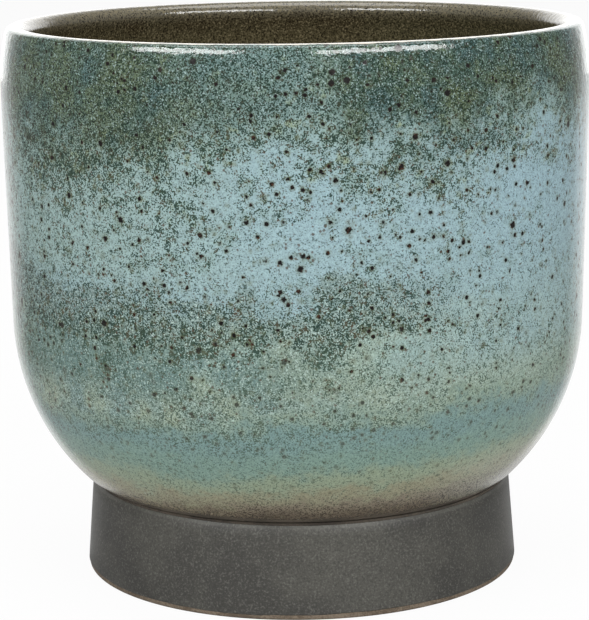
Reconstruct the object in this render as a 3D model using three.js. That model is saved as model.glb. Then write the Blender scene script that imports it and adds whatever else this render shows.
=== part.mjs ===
// A footed flower pot in stoneware: a round-lipped bowl, luted with slip on to a separate foot ring, glazed
// outside and inside, with a dark wash on the foot that stops short of the bare clay base.
//
// Millimetres, +Z up. The origin is the centre of the circle that the pot stands on.
import * as THREE from "three";

// Driving dimensions of the whole pot, over the glaze
const POT_HEIGHT = 165;
const LARGEST_DIAMETER = 175;
const WALL = 7;
const FLOOR_THICKNESS = 8;

// Outline of the bowl, from the foot up: a round belly, a tapered wall, a shoulder that leans in, and the lip
const BELLY_RADIUS = 67;
const WALL_TAPER_DEGREES = 1.1;
const SHOULDER_HEIGHT = 18;
const SHOULDER_RADIUS = 72;
const LIP_BROW_RADIUS = 9; // the outer turn from the shoulder towards the lip's edge
const LIP_BROW_DEGREES = 25; // how far that turn leans in
const LIP_EDGE_RADIUS = 1; // the tight edge from there to the top
const LIP_EDGE_DEGREES = 68; // how far the edge leans in
const LIP_TOP_RADIUS = 6; // the low round over the top, up to the crest
const FLOOR_FILLET = 10;

// The foot ring, in bare clay
const FOOT_HEIGHT = 28;
const FOOT_BASE_DIAMETER = 131.4;
const FOOT_TOP_DIAMETER = 127;
const FOOT_WALL = 8.5;
const FOOT_BASE_EDGE = 0.8;
const FOOT_BEVEL_HEIGHT = 2;
const FOOT_BEVEL_DEPTH = 0.8;

// The joint between bowl and foot: a low boss under the bowl drops into the ring, on a bed of slip
const SLIP_THICKNESS = 0.8;
const SLIP_RECESS = 0.2;
const BOSS_DEPTH = 3;
const BOSS_CLEARANCE = 0.4;

// The coats
const GLAZE_THICKNESS = 0.5;
const GLAZE_LINE_HEIGHT = 1.6;
const WASH_THICKNESS = 0.3;
const BARE_BASE_HEIGHT = 1.3;
const COAT_GAP = 0.02; // a hair between each coat and the clay, so that their facets never cross

// How finely the round forms are faceted
const TURN_STEPS = 64;
const BELLY_STEPS = 8;
const SHOULDER_STEPS = 3;
const BROW_STEPS = 2;
const LIP_STEPS = 3;
const FILLET_STEPS = 3;

const BOWL_CLAY = new THREE.MeshStandardMaterial({ color: 0x6b5d4c, roughness: 0.85, metalness: 0 });
const FOOT_CLAY = new THREE.MeshStandardMaterial({ color: 0x756a5d, roughness: 0.85, metalness: 0 });
const SLIP = new THREE.MeshStandardMaterial({ color: 0x4a4039, roughness: 0.9, metalness: 0 });
const WASH = new THREE.MeshStandardMaterial({ color: 0x55544f, roughness: 0.7, metalness: 0 });
const BLUE_GREEN_GLAZE = new THREE.MeshStandardMaterial({ color: 0x84a09d, roughness: 0.25, metalness: 0 });
const BROWN_GLAZE = new THREE.MeshStandardMaterial({ color: 0x3f3928, roughness: 0.3, metalness: 0 });

// Half-section of the bowl. A point is (radius, height), and an angle is measured from straight outwards.

const point = (radius, height) => new THREE.Vector2(radius, height);

const spoke = (centre, radius, angle) =>
  point(centre.x + radius * Math.cos(angle), centre.y + radius * Math.sin(angle));

function arc(centre, radius, fromAngle, toAngle, steps) {
  return Array.from({ length: steps + 1 }, (_, step) =>
    spoke(centre, radius, THREE.MathUtils.lerp(fromAngle, toAngle, step / steps)));
}

const taper = THREE.MathUtils.degToRad(WALL_TAPER_DEGREES);
const wallNormal = point(Math.cos(taper), -Math.sin(taper));
const wallUp = point(Math.sin(taper), Math.cos(taper));

const shoulderCentre = point(LARGEST_DIAMETER / 2 - SHOULDER_RADIUS, POT_HEIGHT - SHOULDER_HEIGHT);
const wallTop = shoulderCentre.clone().addScaledVector(wallNormal, SHOULDER_RADIUS);

// Outside, the lip is a soft brow, a tight edge and a low round over the top. Inside it is one round, which
// meets the top on the crest. Each side runs smoothly into its own face of the shoulder, which sets where the
// brow starts and the radius of the inner round.
const browLean = THREE.MathUtils.degToRad(LIP_BROW_DEGREES);
const edgeLean = THREE.MathUtils.degToRad(LIP_EDGE_DEGREES);
const edgeDrop = LIP_TOP_RADIUS - (LIP_TOP_RADIUS - LIP_EDGE_RADIUS) * Math.sin(edgeLean);
const browRise = SHOULDER_HEIGHT - edgeDrop - (LIP_BROW_RADIUS - LIP_EDGE_RADIUS) * Math.sin(browLean);
const shoulderLean = Math.asin(browRise / (SHOULDER_RADIUS - LIP_BROW_RADIUS));
const browCentre = spoke(shoulderCentre, SHOULDER_RADIUS - LIP_BROW_RADIUS, shoulderLean);
const edgeCentre = spoke(browCentre, LIP_BROW_RADIUS - LIP_EDGE_RADIUS, browLean);
const topCentre = spoke(edgeCentre, LIP_EDGE_RADIUS - LIP_TOP_RADIUS, edgeLean);
const lipReach = topCentre.x - shoulderCentre.x;
const innerShoulder = SHOULDER_RADIUS - WALL;
const innerLipRadius =
  (lipReach ** 2 + SHOULDER_HEIGHT ** 2 - innerShoulder ** 2) / (2 * (SHOULDER_HEIGHT + innerShoulder));
const innerLipLean = Math.atan2(SHOULDER_HEIGHT - innerLipRadius, lipReach);
const innerLipCentre = point(topCentre.x, POT_HEIGHT - innerLipRadius);
const LIP_CREST = Math.PI / 2;

// The belly is the arc that touches the wall's line and ends flush with the washed foot at the joint.
const jointEnd = point(FOOT_TOP_DIAMETER / 2 + WASH_THICKNESS, FOOT_HEIGHT);

function bellyCentreOf() {
  const highest = wallTop.clone().addScaledVector(wallNormal, -BELLY_RADIUS);
  const away = highest.clone().sub(jointEnd);
  const along = away.dot(wallUp);
  const down = along - Math.sqrt(along ** 2 - away.lengthSq() + BELLY_RADIUS ** 2);
  return highest.addScaledVector(wallUp, -down);
}

const bellyCentre = bellyCentreOf();

// The floor's fillet touches the inside of the belly and the flat floor.
const undersideHeight = FOOT_HEIGHT - BOSS_DEPTH;
const floorHeight = undersideHeight + FLOOR_THICKNESS;
const filletDrop = floorHeight + FLOOR_FILLET - bellyCentre.y;
const filletReach = BELLY_RADIUS - WALL - FLOOR_FILLET;
const filletCentre = point(
  bellyCentre.x + Math.sqrt(filletReach ** 2 - filletDrop ** 2),
  floorHeight + FLOOR_FILLET,
);
const filletStart = Math.atan2(filletDrop, filletCentre.x - bellyCentre.x);
const STRAIGHT_DOWN = -Math.PI / 2;

// The outside of the bowl at a height on its belly, at a depth under the glazed face.
function bellyPoint(height, depth) {
  const radius = BELLY_RADIUS - depth;
  return point(bellyCentre.x + Math.sqrt(radius ** 2 - (height - bellyCentre.y) ** 2), height);
}

// Outside, from the glaze line up to the crest of the lip, at a depth under the glazed face.
function outsideCurve(depth) {
  const start = Math.asin((FOOT_HEIGHT + GLAZE_LINE_HEIGHT - bellyCentre.y) / (BELLY_RADIUS - depth));
  return [
    ...arc(bellyCentre, BELLY_RADIUS - depth, start, -taper, BELLY_STEPS),
    ...arc(shoulderCentre, SHOULDER_RADIUS - depth, -taper, shoulderLean, SHOULDER_STEPS),
    ...arc(browCentre, LIP_BROW_RADIUS - depth, shoulderLean, browLean, BROW_STEPS).slice(1),
    ...arc(edgeCentre, LIP_EDGE_RADIUS - depth, browLean, edgeLean, LIP_STEPS).slice(1),
    ...arc(topCentre, LIP_TOP_RADIUS - depth, edgeLean, LIP_CREST, LIP_STEPS).slice(1),
  ];
}

// Inside, from the crest of the lip down to the middle of the floor, at a depth under the glazed face.
function insideCurve(depth) {
  return [
    ...arc(innerLipCentre, innerLipRadius - depth, LIP_CREST, Math.PI + innerLipLean, LIP_STEPS),
    ...arc(shoulderCentre, innerShoulder + depth, innerLipLean, -taper, SHOULDER_STEPS).slice(1),
    ...arc(bellyCentre, BELLY_RADIUS - WALL + depth, -taper, filletStart, BELLY_STEPS),
    ...arc(filletCentre, FLOOR_FILLET + depth, filletStart, STRAIGHT_DOWN, FILLET_STEPS).slice(1),
    point(0, floorHeight - depth),
  ];
}

// Turns a half-section about +Z.
function turned(name, outline, material) {
  const geometry = new THREE.LatheGeometry(outline, TURN_STEPS).rotateX(Math.PI / 2);
  const mesh = new THREE.Mesh(geometry, material);
  mesh.name = name;
  return mesh;
}

const closed = (outline) => [...outline, outline[0].clone()];

// The bowl in bare clay, from the middle of its boss out to the joint, up the outside and down the inside.
function bowl(bossRadius) {
  return turned("bowl", [
    point(0, undersideHeight),
    point(bossRadius, undersideHeight),
    point(bossRadius, FOOT_HEIGHT),
    bellyPoint(FOOT_HEIGHT, GLAZE_THICKNESS),
    ...outsideCurve(GLAZE_THICKNESS),
    ...insideCurve(GLAZE_THICKNESS).slice(1),
  ], BOWL_CLAY);
}

// The blue-green coat, from the glaze line to the crest of the lip.
function outerGlaze() {
  const back = outsideCurve(GLAZE_THICKNESS - COAT_GAP).reverse();
  return turned("outer_glaze", closed([...outsideCurve(0), ...back]), BLUE_GREEN_GLAZE);
}

// The brown coat, from the crest of the lip over the whole inside.
function innerGlaze() {
  const back = insideCurve(GLAZE_THICKNESS - COAT_GAP).reverse();
  return turned("inner_glaze", [...back, ...insideCurve(0)], BROWN_GLAZE);
}

// The foot, a slightly flared ring with a soft bevel at its top edge.

const ringHeight = FOOT_HEIGHT - SLIP_THICKNESS;
const boreRadius = FOOT_TOP_DIAMETER / 2 - FOOT_WALL;
const ringTopRadius = FOOT_TOP_DIAMETER / 2 - FOOT_BEVEL_DEPTH;

function footFace(height) {
  const diameter = THREE.MathUtils.lerp(FOOT_BASE_DIAMETER, FOOT_TOP_DIAMETER, height / ringHeight);
  return point(diameter / 2, height);
}

// The washed part of the ring's outside, from the bare base up to its top edge.
const washedFace = [
  footFace(BARE_BASE_HEIGHT),
  footFace(ringHeight - FOOT_BEVEL_HEIGHT),
  point(ringTopRadius, ringHeight),
];

function footRing() {
  const baseEdge = footFace(FOOT_BASE_EDGE);
  return turned("foot_ring", closed([
    point(boreRadius + FOOT_BASE_EDGE, 0),
    point(baseEdge.x - FOOT_BASE_EDGE, 0),
    baseEdge,
    ...washedFace,
    point(boreRadius, ringHeight),
    point(boreRadius, FOOT_BASE_EDGE),
  ]), FOOT_CLAY);
}

function footWash() {
  const coatFace = (depth) => washedFace.map((face) => point(face.x + depth, face.y));
  return turned("foot_wash", closed([...coatFace(WASH_THICKNESS), ...coatFace(COAT_GAP).reverse()]), WASH);
}

function lutingSlip() {
  const slipRadius = ringTopRadius - SLIP_RECESS;
  return turned("luting_slip", closed([
    point(boreRadius, ringHeight),
    point(slipRadius, ringHeight),
    point(slipRadius, FOOT_HEIGHT),
    point(boreRadius, FOOT_HEIGHT),
  ]), SLIP);
}

const pot = new THREE.Group();
pot.name = "footed_flower_pot";
pot.add(bowl(boreRadius - BOSS_CLEARANCE), outerGlaze(), innerGlaze(), footRing(), footWash(), lutingSlip());

export default pot;
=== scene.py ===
# %% [markdown]
# # A footed flower pot in glazed stoneware
#
# The pot is a bowl turned on a wheel, luted with slip on to a separate foot ring. A reactive glaze covers
# the outside, a brown liner glaze the inside, and a thin charcoal wash the foot. This lesson turns each
# piece from its half-section, as a potter's template does, and then spends most of its lines on the
# glaze, because the glaze is what a person sees.

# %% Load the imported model
import math

import bpy
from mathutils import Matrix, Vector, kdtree


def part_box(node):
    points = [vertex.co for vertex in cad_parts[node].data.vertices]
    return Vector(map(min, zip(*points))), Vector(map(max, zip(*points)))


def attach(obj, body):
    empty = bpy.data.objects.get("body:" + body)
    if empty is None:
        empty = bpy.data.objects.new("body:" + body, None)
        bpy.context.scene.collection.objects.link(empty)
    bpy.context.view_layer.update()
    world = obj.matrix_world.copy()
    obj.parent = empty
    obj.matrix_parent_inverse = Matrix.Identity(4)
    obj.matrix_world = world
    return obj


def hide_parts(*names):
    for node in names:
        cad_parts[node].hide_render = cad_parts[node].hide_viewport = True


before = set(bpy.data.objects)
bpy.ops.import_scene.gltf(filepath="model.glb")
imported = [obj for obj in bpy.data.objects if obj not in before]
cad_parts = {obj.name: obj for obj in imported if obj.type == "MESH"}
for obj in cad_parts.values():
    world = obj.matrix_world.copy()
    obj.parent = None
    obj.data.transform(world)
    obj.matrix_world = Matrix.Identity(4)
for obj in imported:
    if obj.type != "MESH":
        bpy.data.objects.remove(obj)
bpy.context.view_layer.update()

MM = 0.001

# %% [markdown]
# ## The camera
#
# A still-life camera stands close to the pot, a little above its rim, and looks down on it with a long
# lens. The place, tilt and lens below put the rim, the joint and the base where the photograph has them.
# The camera leans by less than a degree, so it turns about its own line of sight first and is tipped down
# afterwards. A Track To constraint would aim it too, but would hold it level, so the turns are written
# out.

# %% Camera
CAMERA_PLACE = (0, -706.9 * MM, 218.6 * MM)
CAMERA_DOWN = math.radians(11.334)
CAMERA_LEAN = math.radians(-0.711)
LENS_MM, SENSOR_MM = 137.26, 36.0
CAMERA_SHIFT = -0.0053

bpy.ops.object.select_all(action="DESELECT")
bpy.ops.object.camera_add(location=CAMERA_PLACE)
camera = bpy.context.object
camera.name = "still_life_camera"
camera.rotation_mode = "ZYX"
camera.rotation_euler = (math.pi / 2 - CAMERA_DOWN, 0, CAMERA_LEAN)
camera.data.lens = LENS_MM
camera.data.sensor_width = SENSOR_MM
camera.data.shift_x = CAMERA_SHIFT
bpy.context.scene.camera = camera
print("camera at", [round(side, 3) for side in camera.location])

# %% [markdown]
# ## The half-section
#
# A turned pot is fully described by one half-section. From the foot up, the outside is a round belly, a
# wall that tapers outwards by about a degree, a shoulder that leans back in, and a lip with a soft brow,
# a tight edge and a low round top. The inside is one round at the lip and then runs parallel, a wall's
# thickness away, into a fillet and a flat floor. Each stretch touches the next one without a corner, so
# the centres are worked out from the sizes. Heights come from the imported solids. The outline could be
# drawn by eye as a curve, but arcs worked out this way stay smooth when a size changes.

# %% Sizes of the bowl, in millimetres
POT_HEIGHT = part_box("outer_glaze")[1][2] / MM
GLAZE_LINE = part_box("outer_glaze")[0][2] / MM
FLOOR_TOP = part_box("inner_glaze")[0][2] / MM
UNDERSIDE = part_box("bowl")[0][2] / MM
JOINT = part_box("luting_slip")[1][2] / MM
LARGEST_RADIUS = 87.5
WALL = 7
BELLY_RADIUS = 67
TAPER = math.radians(1.1)
SHOULDER_HEIGHT = 18
SHOULDER_RADIUS = 72
BROW_RADIUS, BROW_LEAN = 9, math.radians(25)
EDGE_RADIUS, EDGE_LEAN = 1, math.radians(68)
TOP_RADIUS = 6
FLOOR_FILLET = 10
GLAZE = 0.5
JOINT_RADIUS = 63.8
print("heights:", [round(height, 2) for height in (UNDERSIDE, JOINT, GLAZE_LINE, FLOOR_TOP, POT_HEIGHT)])


# %% Centres of the arcs
def spoke(centre, radius, angle):
    return centre[0] + radius * math.cos(angle), centre[1] + radius * math.sin(angle)


def arc(centre, radius, start, end, steps):
    """Points (radius, height) on an arc; an angle of 0 points straight outwards."""
    return [spoke(centre, radius, start + (end - start) * step / steps) for step in range(steps + 1)]


shoulder_centre = (LARGEST_RADIUS - SHOULDER_RADIUS, POT_HEIGHT - SHOULDER_HEIGHT)
inner_shoulder = SHOULDER_RADIUS - WALL

# The lip's brow, edge and top, and the round inside that meets the top on the crest.
edge_drop = TOP_RADIUS - (TOP_RADIUS - EDGE_RADIUS) * math.sin(EDGE_LEAN)
brow_rise = SHOULDER_HEIGHT - edge_drop - (BROW_RADIUS - EDGE_RADIUS) * math.sin(BROW_LEAN)
shoulder_lean = math.asin(brow_rise / (SHOULDER_RADIUS - BROW_RADIUS))
brow_centre = spoke(shoulder_centre, SHOULDER_RADIUS - BROW_RADIUS, shoulder_lean)
edge_centre = spoke(brow_centre, BROW_RADIUS - EDGE_RADIUS, BROW_LEAN)
top_centre = spoke(edge_centre, EDGE_RADIUS - TOP_RADIUS, EDGE_LEAN)
lip_reach = top_centre[0] - shoulder_centre[0]
inner_lip = lip_reach ** 2 + SHOULDER_HEIGHT ** 2 - inner_shoulder ** 2
inner_lip = inner_lip / (2 * (SHOULDER_HEIGHT + inner_shoulder))
inner_lip_lean = math.atan2(SHOULDER_HEIGHT - inner_lip, lip_reach)
inner_lip_centre = (top_centre[0], POT_HEIGHT - inner_lip)

# The belly's centre lies on a line parallel to the wall, as far below as brings the arc to the joint.
line_top = spoke(shoulder_centre, SHOULDER_RADIUS - BELLY_RADIUS, -TAPER)
away = (line_top[0] - JOINT_RADIUS, line_top[1] - JOINT)
along = away[0] * math.sin(TAPER) + away[1] * math.cos(TAPER)
drop = along - math.sqrt(along ** 2 - away[0] ** 2 - away[1] ** 2 + BELLY_RADIUS ** 2)
belly_centre = (line_top[0] - drop * math.sin(TAPER), line_top[1] - drop * math.cos(TAPER))

fillet_height = FLOOR_TOP + FLOOR_FILLET
fillet_reach = BELLY_RADIUS - WALL - FLOOR_FILLET
fillet_side = math.sqrt(fillet_reach ** 2 - (fillet_height - belly_centre[1]) ** 2)
fillet_centre = (belly_centre[0] + fillet_side, fillet_height)
fillet_start = math.atan2(fillet_height - belly_centre[1], fillet_side)
print("inner round of the lip:", round(inner_lip, 2), "mm; belly centre:", belly_centre)

# %% Outside and inside of the bowl
BELLY_STEPS, SHOULDER_STEPS, LIP_STEPS, FILLET_STEPS, WALL_STEPS = 44, 14, 12, 12, 30


def belly_point(height, depth):
    """The bowl's outside at a height on its belly, at a depth under the glazed face."""
    radius = BELLY_RADIUS - depth
    return belly_centre[0] + math.sqrt(radius ** 2 - (height - belly_centre[1]) ** 2), height


def straight(start, end, steps):
    """Points between two ends, without the ends themselves."""
    shares = [step / steps for step in range(1, steps)]
    return [tuple(a + (b - a) * share for a, b in zip(start, end)) for share in shares]


def outside(depth, lowest):
    """From a height on the belly up to the crest of the lip."""
    start = math.asin((lowest - belly_centre[1]) / (BELLY_RADIUS - depth))
    belly = arc(belly_centre, BELLY_RADIUS - depth, start, -TAPER, BELLY_STEPS)
    shoulder = arc(shoulder_centre, SHOULDER_RADIUS - depth, -TAPER, shoulder_lean, SHOULDER_STEPS)
    brow = arc(brow_centre, BROW_RADIUS - depth, shoulder_lean, BROW_LEAN, LIP_STEPS)
    edge = arc(edge_centre, EDGE_RADIUS - depth, BROW_LEAN, EDGE_LEAN, LIP_STEPS)
    top = arc(top_centre, TOP_RADIUS - depth, EDGE_LEAN, math.pi / 2, LIP_STEPS)
    wall = straight(belly[-1], shoulder[0], WALL_STEPS)
    return belly + wall + shoulder + brow[1:] + edge[1:] + top[1:]


def inside(depth):
    """From the crest of the lip down to the middle of the floor."""
    lip = arc(inner_lip_centre, inner_lip - depth, math.pi / 2, math.pi + inner_lip_lean, LIP_STEPS)
    shoulder = arc(shoulder_centre, inner_shoulder + depth, inner_lip_lean, -TAPER, SHOULDER_STEPS)
    belly = arc(belly_centre, BELLY_RADIUS - WALL + depth, -TAPER, fillet_start, BELLY_STEPS)
    fillet = arc(fillet_centre, FLOOR_FILLET + depth, fillet_start, -math.pi / 2, FILLET_STEPS)
    wall = straight(shoulder[-1], belly[0], WALL_STEPS)
    floor = straight(fillet[-1], (0, FLOOR_TOP - depth), FILLET_STEPS)
    return lip + shoulder[1:] + wall + belly + fillet[1:] + floor + [(0, FLOOR_TOP - depth)]


print("outside:", len(outside(0, GLAZE_LINE)), "points; inside:", len(inside(0)), "points")

# %% [markdown]
# ## Turning a section
#
# On the wheel the pot turns and the template stands still. Here one vertex is extruded along the section
# and the line is spun about the pot's axis. The first and last turns meet, and points on the axis fall
# together, so doubles are merged before the normals are made to point outwards. A Screw modifier would
# turn the line as well, but spin gives a plain mesh at once, ready for merging.

# %% Turning
TURN_STEPS = 240
MERGE = 0.002 * MM
SMOOTH_ANGLE = math.radians(40)


def turned(name, outline, aside=0.0):
    """Draws a half-section in the XZ plane, spins it about Z, and sets it aside by some millimetres."""
    bpy.ops.object.select_all(action="DESELECT")
    bpy.ops.mesh.primitive_plane_add(size=MM, location=(outline[0][0] * MM, 0, outline[0][1] * MM))
    piece = bpy.context.object
    piece.name = piece.data.name = name
    bpy.ops.object.transform_apply(location=True, rotation=True, scale=True)
    bpy.ops.object.mode_set(mode="EDIT")
    bpy.ops.mesh.merge(type="CENTER")
    for here, there in zip(outline, outline[1:]):
        step = ((there[0] - here[0]) * MM, 0, (there[1] - here[1]) * MM)
        bpy.ops.mesh.extrude_vertices_move(TRANSFORM_OT_translate={"value": step})
    bpy.ops.mesh.select_all(action="SELECT")
    bpy.ops.mesh.spin(steps=TURN_STEPS, angle=2 * math.pi, center=(0, 0, 0), axis=(0, 0, 1))
    bpy.ops.mesh.select_all(action="SELECT")
    bpy.ops.mesh.remove_doubles(threshold=MERGE)
    bpy.ops.mesh.normals_make_consistent(inside=False)
    bpy.ops.transform.translate(value=(aside * MM, 0, 0))
    bpy.ops.object.mode_set(mode="OBJECT")
    bpy.ops.object.shade_smooth_by_angle(angle=SMOOTH_ANGLE)
    print(name, len(piece.data.polygons), "faces")
    return piece


# %% [markdown]
# ## The clay bowl
#
# Under the coats is the clay itself. It shows only in the strip between the glaze and the joint, and on
# the boss under the floor. Real clay edges are wiped with a sponge, so the boss and the seat are rounded,
# and the trimming tool leaves shallow rings on the underside. A rough blank would be enough under the
# coats, but those places are seen, so the bowl is turned in full.

# %% Clay bowl
BOSS_RADIUS = 54.6
SPONGED, SPONGED_STEPS = 0.8, 4
RING_PITCH, RING_DEPTH, RING_POINTS = 8.0, 0.25, 36

boss_centre = (BOSS_RADIUS - SPONGED, UNDERSIDE + SPONGED)
boss_edge = arc(boss_centre, SPONGED, -math.pi / 2, 0, SPONGED_STEPS)
flat_underside = straight((0, UNDERSIDE), boss_edge[0], RING_POINTS)
ring_turns = [2 * math.pi * radius / RING_PITCH for radius, height in flat_underside]
trimmed = [
    (radius, height + RING_DEPTH / 2 * (1 - math.cos(turn)))
    for (radius, height), turn in zip(flat_underside, ring_turns)
]
seat_end = belly_point(JOINT, GLAZE)
seat_edge = [(seat_end[0] - SPONGED, JOINT), belly_point(JOINT + SPONGED / 2, GLAZE)]
bowl_outline = [(0, UNDERSIDE)] + trimmed + boss_edge + [(BOSS_RADIUS, JOINT)] + seat_edge
bowl_outline += outside(GLAZE, GLAZE_LINE) + inside(GLAZE)[1:]
clay_bowl = turned("clay_bowl", bowl_outline)

# %% [markdown]
# ## The two coats of glaze
#
# Fired glaze is a glassy skin about half a millimetre thick. The blue-green coat ends just above the
# joint in a rounded nose, because the potter wipes the clay there. The brown liner meets it on the crest
# of the lip. Each coat is a closed shell of its own, a hair off the clay, so it stays a clean solid. A
# change of colour on the clay could stand for a coat, but a real coat has an edge with a thickness, and
# that edge catches the light.

# %% Coats of glaze
HAIR = 0.02
NOSE, NOSE_STEPS = 1.4, 6


def nose(steps):
    """The coat's lower end: it swells from nothing to its full depth in a quarter round."""
    points = []
    for step in range(steps):
        turn = math.pi / 2 * step / steps
        rise = NOSE * (1 - math.cos(turn))
        points.append(belly_point(GLAZE_LINE + rise, (GLAZE - HAIR) * (1 - math.sin(turn))))
    return points


outer_face = nose(NOSE_STEPS) + outside(0, GLAZE_LINE + NOSE)
outer_back = outside(GLAZE - HAIR, GLAZE_LINE)[::-1]
speckled_coat = turned("speckled_coat", outer_face + outer_back)

liner_face = inside(0)
liner_back = inside(GLAZE - HAIR)[::-1]
brown_liner = turned("brown_liner", liner_back + liner_face)

# %% [markdown]
# ## A flat map for each coat
#
# A glaze may later be painted into a picture, and then its coat needs a flat map. A turned coat unrolls
# into two strips, one for the front half of the pot and one for the back half, with the length along the
# section as their height. The side towards the clay is never seen, so it gets one narrow strip. Smart UV
# Project would cut the coat into many small islands, and each of their edges could show as a seam.

# %% Maps of the coats
HIDDEN_STRIP = 0.015
STRIP_GAP = 0.004
STRIP = (1 - HIDDEN_STRIP) / 2 - STRIP_GAP


def rows_of(piece, section):
    """The section's point that each vertex of a turned piece was spun from."""
    points = kdtree.KDTree(len(section))
    for row, (radius, height) in enumerate(section):
        points.insert((radius, 0, height), row)
    points.balance()
    places = [(math.hypot(v.co.x, v.co.y) / MM, 0, v.co.z / MM) for v in piece.data.vertices]
    return [points.find(place)[1] for place in places]


def unrolled(piece, section, first, last):
    """Maps a coat whose visible face runs from the first to the last of these points of its section."""
    lengths = [0.0]
    for here, there in zip(section, section[1:]):
        lengths.append(lengths[-1] + math.dist(here, there))
    spun_from = rows_of(piece, section)
    layer = piece.data.uv_layers.new(name="OFBake")
    end = len(section) - 1
    for face in piece.data.polygons:
        rows = [spun_from[vertex] for vertex in face.vertices]
        # Where the section's two ends fall together, a face takes the end that is next to its other row.
        if max(rows) - min(rows) > 1:
            other = [row for row in rows if row not in (0, end)][0]
            rows = [row if row == other else (0 if other == 1 else end) for row in rows]
        at_back = face.center.y > 0
        turn = -1 if at_back else 1
        middle = math.atan2(turn * face.center.x, -turn * face.center.y)
        visible = first <= min(rows) and max(rows) <= last
        for loop, vertex, row in zip(face.loop_indices, face.vertices, rows):
            x, y = piece.data.vertices[vertex].co.xy
            angle = math.atan2(turn * x, -turn * y) if math.hypot(x, y) > MERGE else middle
            u = 0.5 + angle / math.pi
            if visible:
                v = STRIP * (lengths[row] - lengths[first]) / (lengths[last] - lengths[first])
                layer.data[loop].uv = u, v + (STRIP + STRIP_GAP) * at_back
            else:
                v = (HIDDEN_STRIP - STRIP_GAP) * lengths[row] / lengths[end]
                layer.data[loop].uv = (u + at_back) / 2, v + 2 * (STRIP + STRIP_GAP)
    print(piece.name, "unrolled, section", round(lengths[last] - lengths[first], 1), "mm long")


unrolled(speckled_coat, outer_face + outer_back, 0, len(outer_face) - 1)
unrolled(brown_liner, liner_back + liner_face, len(liner_back), len(liner_back + liner_face) - 1)

# %% [markdown]
# ## The foot ring, its wash and the slip
#
# The ring is a short collar, a little wider at the base. It stands on a wiped, rounded edge of bare clay,
# and it sits a hair off centre, because it is set on by hand. The wash is brushed on from the top edge
# down and stops above the base. The slip that joins ring and bowl swells out a little and shows as a thin
# dark line. A cylinder with bevelled edges would come close, but one section holds the taper, the bevel
# and the round base together.

# %% Sizes of the foot, in millimetres
FOOT_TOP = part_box("foot_ring")[1][2] / MM
FOOT_BASE_RADIUS = 65.7
FOOT_TOP_RADIUS = 63.5
BORE_RADIUS = 55
BEVEL_HEIGHT, BEVEL_DEPTH = 2, 0.8
BASE_EDGE, BASE_EDGE_STEPS, BASE_STEPS = 0.8, 5, 6
WASH = 0.3
WASH_START, WASH_LIFT = 1.5, 0.3
SLIP_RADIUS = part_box("luting_slip")[1][0] / MM
FOOT_STEPS = 16
FOOT_ASIDE = 0.35


def foot_face(height):
    """The ring's bare outside at a height."""
    return FOOT_BASE_RADIUS + (FOOT_TOP_RADIUS - FOOT_BASE_RADIUS) * height / FOOT_TOP, height


def outwards(points, depth):
    return [(radius + depth, height) for radius, height in points]


print("foot: radius", FOOT_BASE_RADIUS, "to", FOOT_TOP_RADIUS, "mm, height", round(FOOT_TOP, 2), "mm")

# %% Foot ring
out_centre = (foot_face(BASE_EDGE)[0] - BASE_EDGE, BASE_EDGE)
in_centre = (BORE_RADIUS + BASE_EDGE, BASE_EDGE)
base_out = arc(out_centre, BASE_EDGE, -math.pi / 2, 0, BASE_EDGE_STEPS)
base_in = arc(in_centre, BASE_EDGE, math.pi, 1.5 * math.pi, BASE_EDGE_STEPS)
bevel_foot = foot_face(FOOT_TOP - BEVEL_HEIGHT)
bevel_top = (FOOT_TOP_RADIUS - BEVEL_DEPTH, FOOT_TOP)
ring_face = straight(base_out[-1], bevel_foot, FOOT_STEPS) + [bevel_foot, bevel_top]
ring_outline = base_out + ring_face + [(BORE_RADIUS, FOOT_TOP)]
ring_outline += straight((BORE_RADIUS, FOOT_TOP), base_in[0], FOOT_STEPS) + base_in
ring_outline += straight(base_in[-1], base_out[0], BASE_STEPS) + [base_out[0]]
clay_foot = turned("clay_foot", ring_outline, FOOT_ASIDE)

# %% Wash on the foot
wash_low = foot_face(WASH_START)
wash_face = straight(wash_low, bevel_foot, FOOT_STEPS)
wash_edge = foot_face(WASH_START + WASH_LIFT)
wash_front = outwards([wash_edge] + wash_face[1:] + [bevel_foot, bevel_top], WASH)
wash_back = outwards([wash_low] + wash_face + [bevel_foot, bevel_top], HAIR)[::-1]
charcoal_wash = turned("charcoal_wash", wash_front + wash_back + [wash_front[0]], FOOT_ASIDE)

# %% [markdown]
# A brushed edge is never a true circle. A Displace modifier that works along Z only, and only on the
# lowest rows of the wash, makes it wander by a few tenths of a millimetre. The rows could be moved by
# hand as well, but a cloud texture gives softer waves, and the modifier is applied at once.

# %% Brushed edge of the wash
BRUSHED_ROWS = 0.6
BRUSH_WANDER = 0.8
BRUSH_LENGTH = 14

brushed = charcoal_wash.vertex_groups.new(name="brushed_edge")
rows = [v.index for v in charcoal_wash.data.vertices if v.co.z < (WASH_START + BRUSHED_ROWS) * MM]
brushed.add(rows, 1.0, "REPLACE")
wander = bpy.data.textures.new("brush_wander", "CLOUDS")
wander.noise_scale = BRUSH_LENGTH * MM
wander.noise_depth = 2
ripple = charcoal_wash.modifiers.new("brushed_edge", "DISPLACE")
ripple.texture, ripple.texture_coords = wander, "LOCAL"
ripple.direction, ripple.strength, ripple.mid_level = "Z", BRUSH_WANDER * MM, 0.5
ripple.vertex_group = brushed.name
bpy.ops.object.modifier_apply(modifier=ripple.name)
print("brushed edge:", len(rows), "vertices moved")

# %% Slip
SQUEEZED = 0.4
BULGE = 0.25

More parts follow.
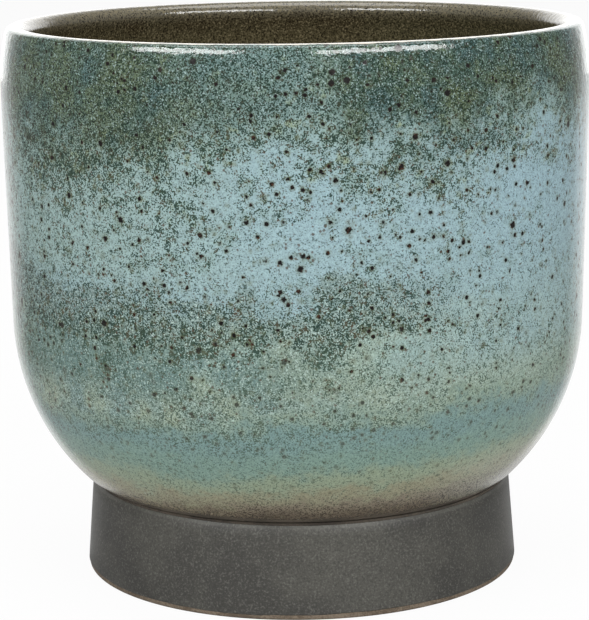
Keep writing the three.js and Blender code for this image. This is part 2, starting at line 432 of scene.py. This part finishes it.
slip_face = SLIP_RADIUS + SQUEEZED
slip_outline = [(BORE_RADIUS, FOOT_TOP), (slip_face, FOOT_TOP), (slip_face + BULGE, (FOOT_TOP + JOINT) / 2)]
slip_outline += [(slip_face, JOINT), (BORE_RADIUS, JOINT), (BORE_RADIUS, FOOT_TOP)]
fired_slip = turned("fired_slip", slip_outline, FOOT_ASIDE)

# %% [markdown]
# ## Riding on the frame
#
# Each turned piece stands for one imported solid, which it hides, and rides on the only body. The solids
# could be shown as they are, but they have fewer steps round and none of the handmade edges.

# %% Replace the imported solids
STANDS_FOR = (
    (clay_bowl, "bowl", "bowl_clay"),
    (speckled_coat, "outer_glaze", "outer_glaze"),
    (brown_liner, "inner_glaze", "inner_glaze"),
    (clay_foot, "foot_ring", "foot_clay"),
    (charcoal_wash, "foot_wash", "foot_wash"),
    (fired_slip, "luting_slip", "luting_slip"),
)
for piece, node_name, slot_name in STANDS_FOR:
    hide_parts(node_name)
    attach(piece, "root")
    print(piece.name, "stands for", node_name)

# %% [markdown]
# ## Mixing a material
#
# A few short helpers keep the recipes readable. Each adds one node to the recipe that is open and gives
# back the socket that carries its result. Every recipe reads Object coordinates, turned into millimetres,
# so that a speck has a real size. The nodes could be wired by hand in the Shader Editor, but written as
# calls a recipe reads from top to bottom.

# %% Helpers that add a node
recipe = None


def open_recipe(tree):
    """From here on, the helpers add their nodes to this tree."""
    global recipe
    recipe = tree


def node(kind, inputs, **settings):
    """Adds a node, sets its options, and fills its inputs from numbers or from other sockets."""
    made = recipe.nodes.new(kind)
    for name, value in settings.items():
        setattr(made, name, value)
    for socket, value in inputs.items():
        if isinstance(value, bpy.types.NodeSocket):
            recipe.links.new(value, made.inputs[socket])
        else:
            made.inputs[socket].default_value = value
    return made


def sums(operation, first, second=0.0):
    return node("ShaderNodeMath", {0: first, 1: second}, operation=operation).outputs[0]


def times(first, second):
    return sums("MULTIPLY", first, second)


def added(*values):
    total = values[0]
    for value in values[1:]:
        total = sums("ADD", total, value)
    return total


def step_up(value, low, high, least=0.0, most=1.0, shape="SMOOTHSTEP"):
    """Goes from least to most as value goes from low to high."""
    inputs = {"Value": value, 1: low, 2: high, 3: least, 4: most}
    return node("ShaderNodeMapRange", inputs, interpolation_type=shape).outputs[0]


def between(value, low, high, soft):
    """One between two limits and nothing outside them, with soft ends."""
    return times(step_up(value, low - soft, low + soft), step_up(value, high + soft, high - soft))


# %% Helpers for lumps and colours
def colour(red, green, blue):
    """A colour on the usual 0 to 255 scale, as the linear numbers that shaders take."""
    shares = [value / 255 for value in (red, green, blue)]
    return [s / 12.92 if s <= 0.04045 else ((s + 0.055) / 1.055) ** 2.4 for s in shares] + [1]


def moved(place, by, stretch=(1, 1, 1)):
    return node("ShaderNodeMapping", {"Vector": place, "Location": by, "Scale": stretch}).outputs[0]


def noise(place, size, detail=2.0, roughness=0.5):
    """Soft lumps about this many millimetres apart, from 0 to 1."""
    inputs = {"Vector": place, "Scale": 1 / size, "Detail": detail, "Roughness": roughness}
    return node("ShaderNodeTexNoise", inputs).outputs["Fac"]


def swing(lumps, size):
    """Turns lumps from 0 to 1 into a swing of this size about zero."""
    return times(sums("SUBTRACT", lumps, 0.5), size)


def mixed(share, first, second):
    return node("ShaderNodeMix", {0: share, 6: first, 7: second}, data_type="RGBA").outputs[2]


def shaded(tone, share):
    """A tone made darker or lighter by a share about one."""
    inputs = {0: 1.0, 6: tone, 7: share}
    return node("ShaderNodeMix", inputs, data_type="RGBA", blend_type="MULTIPLY").outputs[2]


def ramp(value, stops):
    """Colours at places between 0 and 1, blended smoothly."""
    made = node("ShaderNodeValToRGB", {"Fac": value})
    made.color_ramp.interpolation = "EASE"
    elements = made.color_ramp.elements
    while len(elements) < len(stops):
        elements.new(1.0)
    for element, (place, tone) in zip(elements, stops):
        element.position = place
        element.color = tone
    return made.outputs["Color"]


def bump(height, depth, strength):
    inputs = {"Height": height, "Distance": depth * MM, "Strength": strength}
    return node("ShaderNodeBump", inputs).outputs["Normal"]


# %% Starting a material
def new_material(name, piece):
    """Opens the recipe of a new material on a piece; gives its shader and the place in millimetres."""
    material = bpy.data.materials.new(name)
    material.use_nodes = True
    open_recipe(material.node_tree)
    piece.data.materials.clear()
    piece.data.materials.append(material)
    where = node("ShaderNodeTexCoord", {}).outputs["Object"]
    place = node("ShaderNodeVectorMath", {0: where, "Scale": 1 / MM}, operation="SCALE").outputs[0]
    return recipe.nodes["Principled BSDF"], place


def finish_with(shader, surface, roughness, normal):
    """Plugs a recipe's results into its shader."""
    recipe.links.new(surface, shader.inputs["Base Color"])
    recipe.links.new(normal, shader.inputs["Normal"])
    if isinstance(roughness, bpy.types.NodeSocket):
        recipe.links.new(roughness, shader.inputs["Roughness"])
    else:
        shader.inputs["Roughness"].default_value = roughness
    print(len(recipe.nodes), "nodes in the recipe")


# %% [markdown]
# ## The speckled glaze
#
# A reactive glaze separates in the kiln: pale blue where it is thick, celadon and tan where it thins
# towards the foot, and a dark green-black stipple of crystals that crowds at the rim and in a band round
# the belly. Iron in the clay bleeds through as brown-black spots. The recipe follows that: a pale ground
# that changes with height, a field that says how crowded the crystals are, the haze and the stipple that
# they make, and the iron spots on top. Noise of four sizes bends its forms, because real glaze is uneven
# at every size at once. It could be painted as a picture, but noise goes all round without a seam and
# stays sharp close up.

# %% Speckled glaze: lumps of four sizes
shader, place = new_material("speckled_glaze", speckled_coat)
axes = node("ShaderNodeSeparateXYZ", {0: place})
side, height = axes.outputs["X"], axes.outputs["Z"]

drifts = noise(moved(place, (0, 40, 9), (1, 1, 1.6)), 42, 2, 0.5)
clouds = noise(moved(place, (11, 0, 3), (1, 1, 1.2)), 22, 4, 0.62)
patches = noise(moved(place, (5, 5, 50), (1, 1, 1.15)), 7, 3, 0.6)
flecks = noise(moved(place, (3, 80, 20)), 2.6, 2, 0.55)
print("height of the glaze:", round(GLAZE_LINE, 1), "to", round(POT_HEIGHT, 1), "mm")

# %% [markdown]
# The ground is a ramp over height. The height is bent a little by the noise and tilted across the pot,
# because the glaze was poured and not sprayed, so no band is a true ring. Low on the pot the glaze lies
# calmer. Rings could be painted in one by one, but a ramp blends each tone into the next.

# %% Speckled glaze: the pale ground
BAND_TILT = -0.045
CALM_HEIGHTS = 45, 75
CALM_SHARE = 0.55


def by_height(value, stops):
    """A ramp whose places are heights on the pot in millimetres."""
    return ramp(sums("DIVIDE", value, POT_HEIGHT), [(stop / POT_HEIGHT, tone) for stop, tone in stops])


wandering = added(swing(drifts, 16), swing(patches, 14), swing(flecks, 10))
wandering = times(wandering, step_up(height, *CALM_HEIGHTS, CALM_SHARE, 1))
soft_height = added(height, wandering, times(side, BAND_TILT))
ground = by_height(soft_height, [
    (29.5, colour(102, 92, 78)),
    (33, colour(122, 113, 95)),
    (37, colour(134, 132, 107)),
    (42.5, colour(131, 145, 122)),
    (49, colour(113, 139, 128)),
    (57, colour(108, 135, 132)),
    (64, colour(126, 145, 130)),
    (68, colour(139, 156, 143)),
    (84, colour(142, 163, 154)),
    (97, colour(142, 168, 174)),
    (134, colour(143, 170, 179)),
    (147, colour(139, 166, 167)),
    (160, colour(131, 158, 156)),
])
print("ground mixed from", len(ground.node.color_ramp.elements), "tones")

# %% [markdown]
# Three forms are darker than the ground: the rim, which runs down further in some places than in others,
# the band round the belly, which fades to one side, and the belly below it. Between rim and band the
# glaze is mottled in places. How far each form reaches is given from side to side, and noise bends the
# edges.


# %% Speckled glaze: from side to side
def across(*stops):
    """A number that changes from side to side: places in millimetres, each with the number there."""
    numbers = [number for spot, number in stops]
    least, most = min(numbers), max(numbers)
    greys = [(0.5 + spot / (2 * LARGEST_RADIUS), [(number - least) / (most - least)] * 3 + [1])
             for spot, number in stops]
    share = ramp(step_up(side, -LARGEST_RADIUS, LARGEST_RADIUS, shape="LINEAR"), greys)
    return step_up(share, 0, 1, least, most, "LINEAR")


rim_run = across(
    (-75, 0), (-55, 6), (-35, 5), (-22, 2), (-8, -4), (6, -4), (16, 2), (28, 3), (44, 4), (60, -5),
)
rim_depth = across((-40, 0.92), (-25, 0.7), (-10, 0.6), (4, 0.64), (18, 0.98))
band_run = across((-70, -3), (-20, 0), (0, -1), (14, -5), (45, -7))
mottling = across(
    (-75, 1), (-50, 0.9), (-25, 0.6), (-10, 0.3), (4, 0.15), (22, 0.2), (34, 0.15), (46, 0.1), (58, 0),
)
print("profiles from side to side made, out to", LARGEST_RADIUS, "mm")

# %% Speckled glaze: rim, band and belly
RIM_EDGE = 131, 151
RIM_FRINGE = 115, 143
BAND_EDGE, BAND_SOFT = (81, 97), 3.5
BAND_FADES = 52, 18
BELLY_TOP, BELLY_SOFT = 84, 4
MOTTLED, MOTTLED_SOFT = (98, 140), 8

rim_height = added(height, rim_run, swing(clouds, 38), swing(patches, 24), swing(flecks, 14))
rim = step_up(rim_height, *RIM_EDGE)
fringe = step_up(rim_height, *RIM_FRINGE)
band_height = added(height, band_run, swing(drifts, 10), swing(clouds, 28))
band_height = added(band_height, swing(patches, 26), swing(flecks, 12))
band = times(between(band_height, *BAND_EDGE, BAND_SOFT), step_up(side, *BAND_FADES))
below_band = step_up(band_height, BELLY_TOP + BELLY_SOFT, BELLY_TOP - BELLY_SOFT)
belly = times(below_band, step_up(side, 80, -20, 0.5, 1))
mottled = times(mottling, between(height, *MOTTLED, MOTTLED_SOFT))
print("rim above", RIM_EDGE, "mm, band between", BAND_EDGE, "mm, belly below", BELLY_TOP, "mm")

# %% [markdown]
# Crystals too fine to see make a haze. First comes what tints the ground itself: the mottled places, a
# bluer stretch on the right, a paler one low on the right, and the belly, which goes from blue-green to
# olive.

# %% Speckled glaze: haze on the ground
BLUE_SIDE, BLUE_SOFT = (76, 102), 8
PALE_FOOT, PALE_SOFT = (26, 46), 5
CELADON_START = 60, 66

hue = noise(moved(place, (0, 0, 90)), 13, 3, 0.6)
surface = mixed(times(mottled, 0.75), ground, colour(141, 163, 156))
right_blue = times(step_up(side, 10, 60), between(height, *BLUE_SIDE, BLUE_SOFT))
surface = mixed(times(right_blue, 0.8), surface, colour(142, 167, 170))
low_right = times(step_up(side, 30, 58), between(height, *PALE_FOOT, PALE_SOFT))
surface = mixed(times(low_right, 0.5), surface, colour(156, 160, 144))
belly_tones = (0.4, colour(99, 127, 130)), (0.5, colour(130, 150, 140)), (0.6, colour(138, 150, 128))
belly_part = times(belly, step_up(soft_height, *CELADON_START))
belly_share = times(belly_part, step_up(side, 40, -10, 0.2, 0.65))
surface = mixed(belly_share, surface, ramp(hue, belly_tones))
print("tints between", PALE_FOOT[0], "and", MOTTLED[1], "mm")

# %% [markdown]
# Then come the dark forms. The rim is teal to olive, more olive on the left, and its fringe is a thin
# grey-green. The band is grey, blue-green drifts lie low on one side, and olive smudges hang under the
# rim.

# %% Speckled glaze: haze of the dark forms
DRIFT, PATCHY, ZONE_SOFT = (67, 84), (72, 146), 6

rim_hue = added(hue, times(step_up(side, -10, -60), 0.07))
rim_tones = (0.4, colour(60, 84, 83)), (0.5, colour(67, 87, 76)), (0.62, colour(80, 93, 70))
surface = mixed(times(fringe, 0.55), surface, colour(124, 145, 135))
surface = mixed(times(rim, rim_depth), surface, ramp(rim_hue, rim_tones))
surface = mixed(times(band, 0.68), surface, colour(105, 123, 116))
drifting = sums("MAXIMUM", step_up(drifts, 0.3, 0.5), between(side, -56, -32, 10))
low_drift = times(drifting, times(between(height, *DRIFT, ZONE_SOFT), step_up(side, 35, -30)))
surface = mixed(times(low_drift, 0.85), surface, colour(95, 119, 114))
patchy = times(step_up(patches, 0.53, 0.66), between(height, *PATCHY, ZONE_SOFT))
surface = mixed(times(patchy, 0.34), surface, colour(110, 132, 121))
smudges = step_up(noise(moved(place, (0, 0, 140)), 3.4, 2, 0.5), 0.6, 0.74)
smudged = times(smudges, sums("SUBTRACT", fringe, times(rim, 0.65)))
surface = mixed(times(smudged, 0.7), surface, colour(134, 143, 97))
print("drifts between", DRIFT, "mm, patches between", PATCHY, "mm")

# %% [markdown]
# Larger crystals show as a stipple. The crowding says how many there are: more in the dark forms, and
# more or fewer in clouds of every size, though less so at the rim. The blue-green ring has fewer, and
# the foot line has more.

# %% Speckled glaze: how crowded the crystals are
SPARSE_RING = 50, 62
FOOT_LINE = 38, 31

crowding = added(0.16, times(fringe, 0.32), times(rim, 0.02), times(band, 0.36))
crowding = added(crowding, times(belly, 0.24), times(mottled, 0.2))
uneven = added(swing(clouds, 0.4), swing(patches, 0.6), swing(flecks, 0.9))
crowding = added(crowding, times(uneven, step_up(rim, 0, 1, 1, 0.3)))
crowding = times(crowding, step_up(soft_height, *SPARSE_RING, 0.5, 1))
crowding = added(crowding, step_up(soft_height, *FOOT_LINE, 0, 0.25))
print("fewer crystals below", SPARSE_RING[1], "mm, more below", FOOT_LINE[0], "mm")

# %% [markdown]
# Pale grains lie between the crystals where these crowd. The crystals are the dark dots: a fine grain is
# cut at a limit that rises with the crowding, and their colour turns from green-black to brown, softer
# low down. Voronoi points could make the dots too, but all of them would be round, and cut noise gives
# grains that run together.

# %% Speckled glaze: the stipple
PALE_SIZE, STIPPLE_SIZE, CLUMP_SIZE = 0.45, 0.42, 1.0
PALER_HEIGHTS = 110, 90
SOFTER_HEIGHTS = 88, 72
BROWN_HEIGHTS = 41, 34

pale_grain = noise(moved(place, (70, 0, 0)), PALE_SIZE, 1, 0.5)
pale_share = sums("MAXIMUM", times(rim, 0.76), times(band, 0.9))
pale_share = sums("MAXIMUM", pale_share, times(belly_part, 0.75))
pale_share = sums("MAXIMUM", pale_share, times(fringe, 0.6))
pale = mixed(step_up(height, *PALER_HEIGHTS), colour(152, 172, 172), colour(172, 191, 184))
surface = mixed(times(step_up(pale_grain, 0.54, 0.68), pale_share), surface, pale)

clumps = noise(moved(place, (15, 0, 0)), CLUMP_SIZE, 1, 0.5)
grain = added(noise(place, STIPPLE_SIZE, 1, 0.5), swing(clumps, 0.4))
limit = step_up(crowding, 0, 1, 0.31, 0.66, "LINEAR")
dark_dots = step_up(sums("SUBTRACT", grain, limit), 0.03, -0.035)
dot_hue = noise(moved(place, (0, 60, 0)), 1.7, 2, 0.5)
dots = ramp(dot_hue, [(0.38, colour(16, 46, 36)), (0.52, colour(28, 50, 28)), (0.64, colour(64, 54, 30))])
dots = mixed(times(rim, 0.7), dots, colour(18, 36, 24))
dots = mixed(step_up(height, *SOFTER_HEIGHTS, 0, 0.7), dots, colour(72, 93, 80))
dots = mixed(step_up(height, *BROWN_HEIGHTS), dots, colour(62, 52, 42))
surface = shaded(surface, step_up(grain, 0.25, 0.75, 0.72, 1.28, "LINEAR"))
surface = mixed(times(dark_dots, step_up(crowding, 0.12, 0.5, 0.54, 0.88)), surface, dots)
print("stipple of", STIPPLE_SIZE, "mm in clumps of", CLUMP_SIZE, "mm")

# %% [markdown]
# Iron spots are a Voronoi pattern: each cell has a point, a random size and a chance of being bare. Noise
# along their edges makes them uneven, and a faint olive halo shows where the iron has bled into the
# glaze. Small discs could be modelled in their place, but iron spots lie in the glaze and not on it.

# %% Speckled glaze: a way to scatter spots
clusters = noise(moved(place, (9, 9, 9)), 11, 2, 0.5)
ragged = noise(moved(place, (0, 31, 0)), 0.7, 2, 0.6)


def spots(place, cell, least, most, share):
    """Specks of random size, on about this share of the cells, more of them where clusters are."""
    found = node("ShaderNodeTexVoronoi", {"Vector": place, "Scale": 1 / cell, "Randomness": 1.0})
    chance = node("ShaderNodeSeparateColor", {0: found.outputs["Color"]})
    away = added(times(found.outputs["Distance"], cell), swing(ragged, 1.3 * most))
    size = step_up(chance.outputs[1], 0, 1, least, most)
    kept = sums("LESS_THAN", chance.outputs[0], step_up(clusters, 0.3, 0.7, 0.4 * share, 1.6 * share))
    return sums("SUBTRACT", size, away), kept


def shown(spot, soft, reach=0.0):
    """A mask of spots: full inside, fading over a soft edge, and reaching out round them."""
    inwards, kept = spot
    return times(step_up(inwards, -reach - soft, soft - reach), kept)


# %% Speckled glaze: iron spots and rust
IRON_ZONE = 40, 84
LARGE_ZONE = 58, 92

large = spots(place, 4.5, 0.5, 0.95, 0.28)
medium = spots(moved(place, (0, 0, 120)), 2.7, 0.32, 0.62, 0.62)
small = spots(moved(place, (0, 0, 200)), 1.8, 0.16, 0.4, 0.6)
iron_zone = step_up(height, *IRON_ZONE, 0.35, 1.0)
large_zone = step_up(height, *LARGE_ZONE)

wide_halo = times(shown(large, 0.8, 0.5), large_zone)
halo = sums("MAXIMUM", wide_halo, times(shown(medium, 0.5, 0.35), iron_zone))
bleeding = added(0.4, times(fringe, 0.2), times(rim, -0.45))
surface = mixed(times(halo, bleeding), surface, colour(102, 106, 73))
specks = times(shown(small, 0.12), step_up(rim, 0, 1, 0.75, 0.3))
surface = mixed(times(specks, iron_zone), surface, colour(76, 54, 36))
core = sums("MAXIMUM", times(shown(large, 0.2), large_zone), times(shown(medium, 0.15), iron_zone))
rusty = noise(moved(place, (44, 0, 0)), 1.4, 2, 0.6)
rust = times(step_up(rusty, 0.5, 0.7), step_up(rim, 0, 1, 1, 0.3))
iron = mixed(rust, colour(16, 13, 10), colour(66, 42, 26))
surface = mixed(core, surface, iron)
print("iron spots grow fainter below", IRON_ZONE[1], "mm")

# %% [markdown]
# The glaze runs thin on the lip, so a pale line breaks through along the crest, and the same pale line is
# a painted highlight on the tight edge of the crest. The gloss is full above and turns satin towards the
# foot, and the relief is only the grain of the crystals, a soft orange peel and the sunken spots. A coat
# layer on the shader could give the gloss, but the glaze is glass itself, so its own roughness is used.

# %% Speckled glaze: lip, gloss and relief
GLASS = 1.6
LIP_BREAK_AND_HIGHLIGHT = 0.22, 0.06
SATIN_HEIGHTS = 50, 32

lip_line_height = added(height, swing(patches, 0.8))
pale_lip_and_highlight = step_up(lip_line_height, *[POT_HEIGHT - depth for depth in LIP_BREAK_AND_HIGHLIGHT])
# Pale crest line: partly the glaze breaking thin, partly a painted highlight on the edge.
surface = mixed(times(pale_lip_and_highlight, 0.9), surface, colour(222, 213, 198))
gloss = added(step_up(height, *SATIN_HEIGHTS, 0.09, 0.25), times(core, 0.15))
peel = noise(moved(place, (0, 0, 60)), 1.8, 2, 0.5)
relief = added(times(grain, 0.6), times(peel, 4), times(core, -0.5))
shader.inputs["IOR"].default_value = GLASS
finish_with(shader, surface, gloss, bump(relief, 0.05, 0.55))

# %% [markdown]
# ## The brown liner
#
# The inside has a plain iron-brown glaze, dark and glossy, with the clay's fine specks showing through
# and a paler break on the lip where it runs thin; that paler band is also a painted sheen for the light
# reflected on the top of the lip. It is simpler than the outer glaze, so it has a short recipe of its own
# rather than a share of that one.

# %% Brown liner glaze
LINER_DEEP = 6, 12
LINER_BREAK_AND_SHEEN = 6.5, 1

shader, place = new_material("brown_glaze", brown_liner)
axes = node("ShaderNodeSeparateXYZ", {0: place})
side, height = axes.outputs["X"], axes.outputs["Z"]
cloud = noise(place, 18, 4, 0.6)
peel = noise(place, 1.6, 2, 0.5)
grain = noise(place, 0.55, 2, 0.6)
surface = mixed(step_up(cloud, 0.38, 0.62), colour(58, 50, 34), colour(70, 64, 46))
deep = step_up(height, *[POT_HEIGHT - depth for depth in LINER_DEEP])
surface = mixed(times(deep, 0.6), surface, colour(84, 78, 56))
surface = mixed(step_up(side, 0, 60, 0, 0.4), surface, colour(66, 68, 48))
# Paler band on the lip: partly the glaze running thin, partly a painted sheen for the light on its top.
lip = step_up(added(height, swing(grain, 4)), *[POT_HEIGHT - depth for depth in LINER_BREAK_AND_SHEEN])
surface = mixed(times(lip, 0.8), surface, colour(118, 113, 97))
surface = mixed(step_up(grain, 0.53, 0.66, 0, 0.85), surface, colour(124, 114, 88))
surface = mixed(step_up(grain, 0.47, 0.36, 0, 0.9), surface, colour(30, 25, 17))
shader.inputs["IOR"].default_value = GLASS
finish_with(shader, surface, 0.1, bump(added(times(grain, 0.8), times(peel, 5)), 0.05, 0.55))

# %% [markdown]
# ## Wash, clay and slip
#
# The wash is a satin skin of iron and manganese that lets the sand of the clay show as a fine grain. It
# is worn a little along the top edge, and that pale line is also a painted highlight on the bevel. Towards
# the left and right it is darkened with painted shade. Where the sponge wiped the base, the taupe clay is
# bare. Bowl, foot and slip are sandy stoneware in three tones, so one function makes all three.

# %% Charcoal wash
WORN_LINE_AND_HIGHLIGHT_BELOW_TOP = 0.5

shader, place = new_material("charcoal_wash", charcoal_wash)
axes = node("ShaderNodeSeparateXYZ", {0: place}).outputs
side, height = axes["X"], axes["Z"]
cloud = noise(place, 26, 3, 0.55)
grain = noise(place, 0.6, 3, 0.7)
surface = mixed(step_up(cloud, 0.38, 0.62), colour(62, 61, 57), colour(78, 77, 71))
# Painted shade: the wash is darkened towards the left and right sides, where less light falls on it.
surface = shaded(surface, step_up(sums("ABSOLUTE", side), 22, 60, 1, 0.82))
surface = mixed(step_up(grain, 0.52, 0.66, 0, 0.62), surface, colour(112, 111, 105))
surface = mixed(step_up(grain, 0.48, 0.36, 0, 0.62), surface, colour(50, 49, 46))
# A pale broken line just under the top edge: real wear, and a painted highlight where the bevel catches the
# light.
edge = sums("ABSOLUTE", sums("SUBTRACT", height, FOOT_TOP - WORN_LINE_AND_HIGHLIGHT_BELOW_TOP))
line_breaks = step_up(noise(moved(place, (20, 0, 0)), 9, 4, 0.7), 0.4, 0.56, 0.3, 1)
worn_line_and_highlight = times(step_up(edge, 0.7, 0.2), line_breaks)
surface = mixed(times(worn_line_and_highlight, 0.25), surface, colour(122, 121, 114))
finish_with(shader, surface, 0.5, bump(grain, 0.08, 0.5))


# %% Bare clay
def fired_clay(name, piece, dark, pale):
    """Fired stoneware: sandy, matte, and a little uneven in tone."""
    shader, place = new_material(name, piece)
    grain = noise(place, 0.7, 3, 0.7)
    cloud = noise(place, 15, 3, 0.6)
    tone = added(times(grain, 0.5), times(cloud, 0.5))
    surface = mixed(step_up(tone, 0.42, 0.58), dark, pale)
    finish_with(shader, surface, 0.85, bump(grain, 0.1, 0.7))


fired_clay("foot_clay", clay_foot, colour(94, 82, 68), colour(126, 113, 97))
fired_clay("bowl_clay", clay_bowl, colour(74, 67, 57), colour(96, 87, 75))
fired_clay("slip", fired_slip, colour(66, 60, 53), colour(88, 80, 70))

# %% [markdown]
# ## The studio
#
# The pot stands on a white sweep, lit by two soft lamps high in front, one overhead and a weak one
# behind. The sweep and the room are white to the camera. In reflections they are white only behind the
# pot, and the floor glows weakly close round it, so that the gloss of the pot's edges shows the white
# sweep while the front stays clear. The light on the pot itself keeps a plain level. A share of the
# floor's own shading is kept, and with it the pot's shadow. A bent backdrop could be modelled, but a flat
# floor and a room that are white to the camera look the same.

# %% Floor
FLOOR_SIZE = 6
PAPER = 0.8
WHITE_SHARE = 0.95
DIM_ROOM = 0.2
SWEEP_EDGE = 0.62, 0.95
SWEEP_HALF = 0.075
NEAR_FLOOR, NEAR_GLOW = (0.4, 0.15), 0.45

bpy.ops.object.select_all(action="DESELECT")
bpy.ops.mesh.primitive_plane_add(size=FLOOR_SIZE)
floor = bpy.context.object
floor.name = "studio_floor"
sweep = bpy.data.materials.new("white_sweep")
sweep.use_nodes = True
floor.data.materials.append(sweep)
open_recipe(sweep.node_tree)
paper = recipe.nodes["Principled BSDF"]
paper.inputs["Base Color"].default_value = (PAPER, PAPER, PAPER, 1)
paper.inputs["Roughness"].default_value = 0.9
print("floor:", FLOOR_SIZE, "m across")

# %% Floor: how it shows to the camera and in reflections
rays = node("ShaderNodeLightPath", {}).outputs
seen = sums("MAXIMUM", rays["Is Camera Ray"], rays["Is Transmission Ray"])
share = sums("MAXIMUM", times(seen, WHITE_SHARE), rays["Is Glossy Ray"])
spot = node("ShaderNodeSeparateXYZ", {0: node("ShaderNodeTexCoord", {}).outputs["Object"]}).outputs
beside = sums("MAXIMUM", sums("SUBTRACT", sums("ABSOLUTE", spot["X"]), SWEEP_HALF), 0)
bearing = node("ShaderNodeCombineXYZ", {"X": beside, "Y": spot["Y"]}).outputs[0]
bearing = node("ShaderNodeVectorMath", {0: bearing}, operation="NORMALIZE").outputs[0]
behind = node("ShaderNodeSeparateXYZ", {0: bearing}).outputs["Y"]
mirrored = step_up(behind, *SWEEP_EDGE, DIM_ROOM, 1.0)
distance = sums("SQRT", added(times(spot["X"], spot["X"]), times(spot["Y"], spot["Y"])))
mirrored = sums("MAXIMUM", mirrored, step_up(distance, *NEAR_FLOOR, 0, NEAR_GLOW))
strength = step_up(seen, 0, 1, mirrored, 1.0, "LINEAR")
glow = node("ShaderNodeEmission", {"Color": (1, 1, 1, 1), "Strength": strength}).outputs[0]
blend = node("ShaderNodeMixShader", {0: share, 1: paper.outputs[0], 2: glow}).outputs[0]
recipe.links.new(blend, recipe.nodes["Material Output"].inputs["Surface"])
print(len(recipe.nodes), "nodes in the floor's recipe")

# %% [markdown]
# The two front lamps are wide, shallow strips, so that each leaves a narrow soft streak on the lip. The
# overhead lamp lights the crest and the inside, and the weak one behind keeps the back of the pot from
# going black. Square lamps in front would leave broad patches on the lip.


# %% Lights
def turn_towards(place, aim):
    """The turn that points a lamp from a place at a point."""
    reach = [b - a for a, b in zip(place, aim)]
    flat = math.hypot(reach[0], reach[1])
    return math.atan2(flat, -reach[2]), 0, math.atan2(reach[0], -reach[1]) + math.pi


def soft_light(name, place, aim, width, depth, watts):
    bpy.ops.object.light_add(type="AREA", location=place)
    lamp = bpy.context.object
    lamp.name = name
    lamp.data.shape = "RECTANGLE"
    lamp.data.size, lamp.data.size_y = width, depth
    lamp.data.energy = watts
    lamp.rotation_euler = turn_towards(place, aim)
    print(name, watts, "W")


POT_MIDDLE = (0, 0, 0.09)
soft_light("left_light", (-0.85, -0.85, 0.85), POT_MIDDLE, 0.95, 0.32, 10)
soft_light("right_light", (0.72, -0.98, 0.85), POT_MIDDLE, 1.18, 0.32, 12)
soft_light("top_light", (0, 0.12, 1.2), POT_MIDDLE, 1.0, 0.8, 8)
soft_light("back_light", (0, 1.5, 0.35), POT_MIDDLE, 2.0, 0.9, 5)

# %% [markdown]
# The room gives a little light from all sides. It is white to the camera, and in reflections it is white
# only behind the pot, as the sweep is. The Standard view shows each colour as it is written. A picture of
# a room could light the pot too, but it would tint the glaze.

# %% World
ROOM_LIGHT = 0.22

world = bpy.data.worlds.new("white_room")
bpy.context.scene.world = world
world.use_nodes = True
open_recipe(world.node_tree)
rays = node("ShaderNodeLightPath", {}).outputs
outlook = node("ShaderNodeTexCoord", {}).outputs["Generated"]
behind = node("ShaderNodeSeparateXYZ", {0: outlook}).outputs["Y"]
mirrored = step_up(behind, *SWEEP_EDGE, DIM_ROOM, 1.0)
strength = step_up(rays["Is Glossy Ray"], 0, 1, ROOM_LIGHT, mirrored, "LINEAR")
seen = sums("MAXIMUM", rays["Is Camera Ray"], rays["Is Transmission Ray"])
strength = step_up(seen, 0, 1, strength, 1.0, "LINEAR")
background = recipe.nodes["Background"]
background.inputs["Color"].default_value = (1, 1, 1, 1)
recipe.links.new(strength, background.inputs["Strength"])
print("room light:", ROOM_LIGHT)

# %% View settings
bpy.context.scene.view_settings.view_transform = "Standard"
print("view:", bpy.context.scene.view_settings.view_transform)
